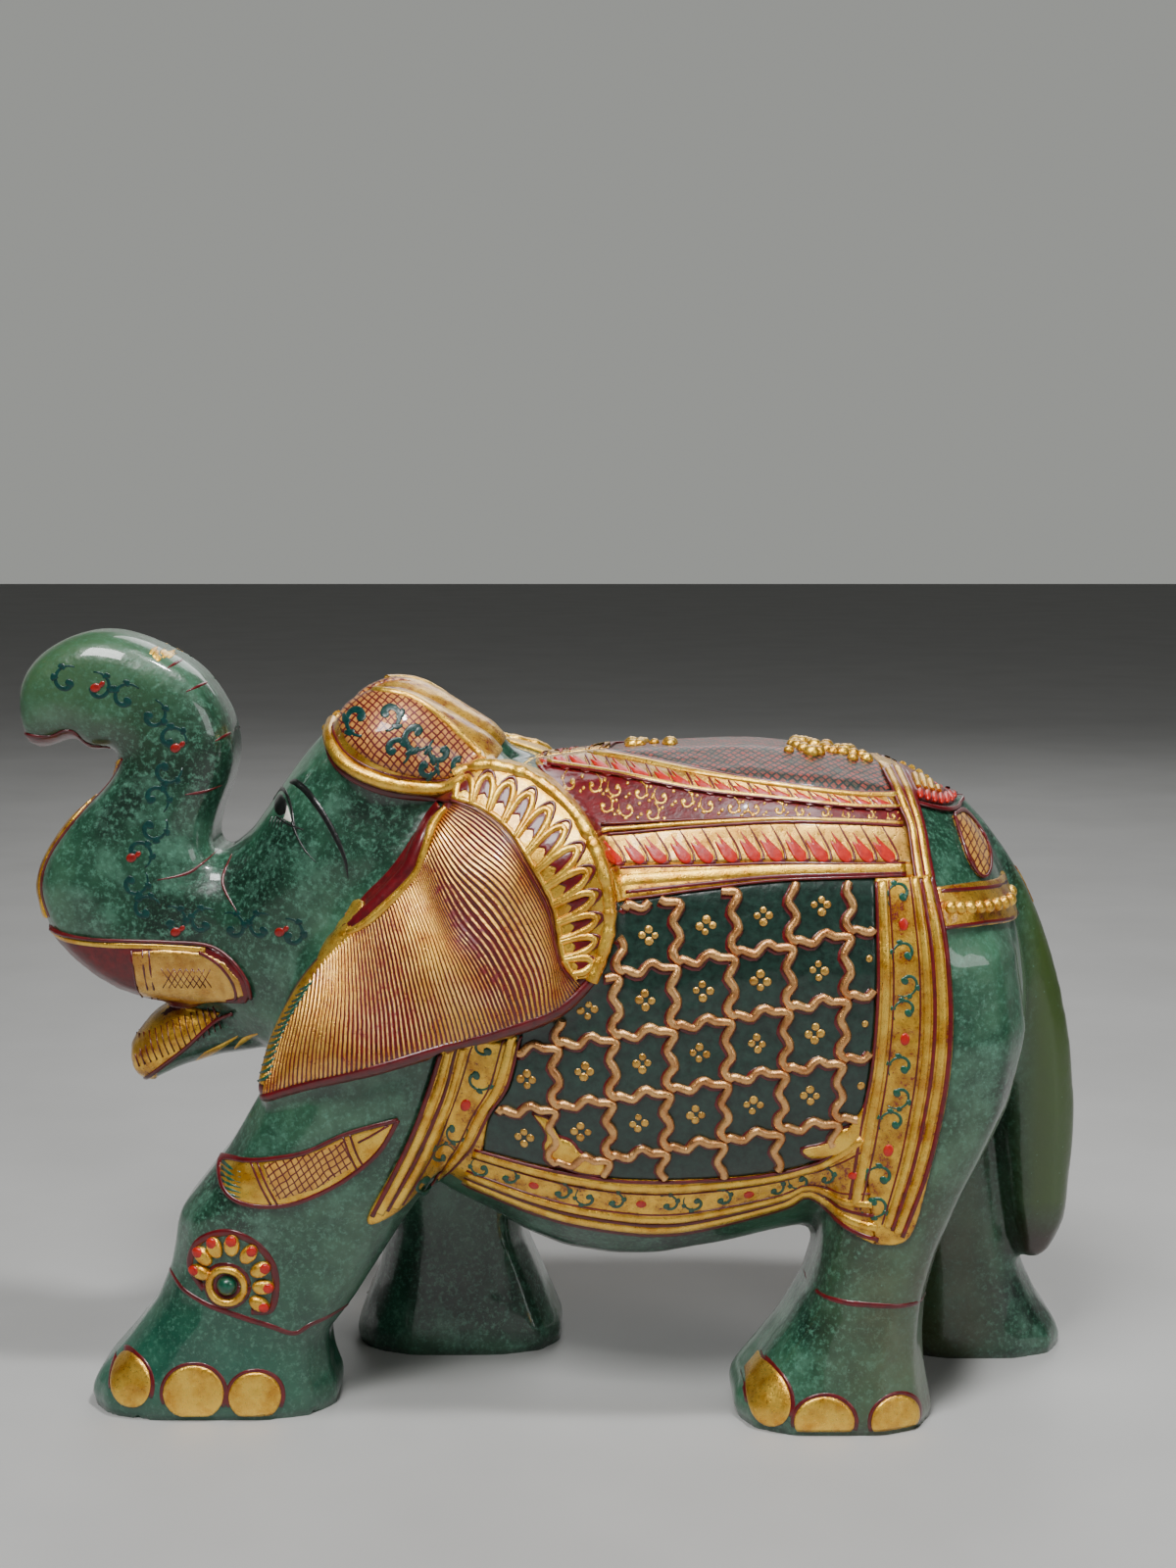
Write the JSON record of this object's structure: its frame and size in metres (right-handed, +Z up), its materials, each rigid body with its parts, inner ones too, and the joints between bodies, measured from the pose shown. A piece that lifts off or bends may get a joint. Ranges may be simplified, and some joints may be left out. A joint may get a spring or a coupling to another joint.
{
  "type": "carved elephant figurine",
  "caption": "Carved green stone elephant walking with its trunk raised, hand painted with a gilded saddle cloth, skull cap, ears, leg rosettes and toenails.",
  "frame": {"origin": "middle of the footprint, on the plane of the soles", "axes": "+Z up, +X from the head towards the tail, -Y towards the elephant's left side, +Y its right side"},
  "size_m": [0.1481, 0.0578, 0.1059],
  "materials": {
    "stone": "polished dark green aventurine, clear varnish",
    "green_ground": "dark green lacquer, satin gloss",
    "border_gilding": "gold paint worn to red and green",
    "leaf_bands": "gold paint with slanted red leaves",
    "crimson_lacquer": "crimson lacquer with gold scrolls",
    "piped_cord": "pink gold piping with crimson edges",
    "raised_gold": "raised gold paint",
    "pearl_dots": "pale gold dots",
    "ear_gilding": "gold paint with fine crimson pleat lines",
    "cap_ground": "peach gold ground with crimson and teal lines",
    "leaf_ornament": "gold and green painted leaf",
    "black_line": "black and white painted eyes and brows"
  },
  "bodies": {
    "root": {"stone_elephant": "stone", "cloth_field_left": "green_ground", "cloth_field_right": "green_ground", "cloth_border_left": "border_gilding", "cloth_border_right": "border_gilding", "gold_rule_left": "border_gilding", "gold_rule_right": "border_gilding", "lower_leaf_band_left": "leaf_bands", "lower_leaf_band_right": "leaf_bands", "scroll_band_left": "crimson_lacquer", "scroll_band_right": "crimson_lacquer", "upper_leaf_band_left": "leaf_bands", "upper_leaf_band_right": "leaf_bands", "spine_panel": "green_ground", "spine_beads": "raised_gold", "rear_band": "border_gilding", "trellis_left": "piped_cord", "trellis_right": "piped_cord", "trellis_flowers_left": "raised_gold", "trellis_flowers_right": "raised_gold", "crupper_band": "border_gilding", "crupper_pearls": "pearl_dots", "rump_fringe": "border_gilding", "rump_leaves": "leaf_ornament", "ear_gilding_left": "ear_gilding", "ear_gilding_right": "ear_gilding", "ear_scallops_left": "raised_gold", "ear_scallops_right": "raised_gold", "ear_rim_left": "raised_gold", "ear_rim_right": "raised_gold", "cap_ground_left": "cap_ground", "cap_ground_right": "cap_ground", "cap_rim_left": "raised_gold", "cap_rim_right": "raised_gold", "crest_beads": "raised_gold", "eyes": "black_line", "eyebrows": "black_line", "tusk_band_left": "crimson_lacquer", "tusk_band_right": "crimson_lacquer", "jaw_gilding": "border_gilding", "trunk_front_gilding": "border_gilding", "trunk_tip_lips": "crimson_lacquer", "armlets": "leaf_ornament", "knee_rosettes": "raised_gold", "anklets": "crimson_lacquer", "toenails": "raised_gold"}
  },
  "joints": []
}
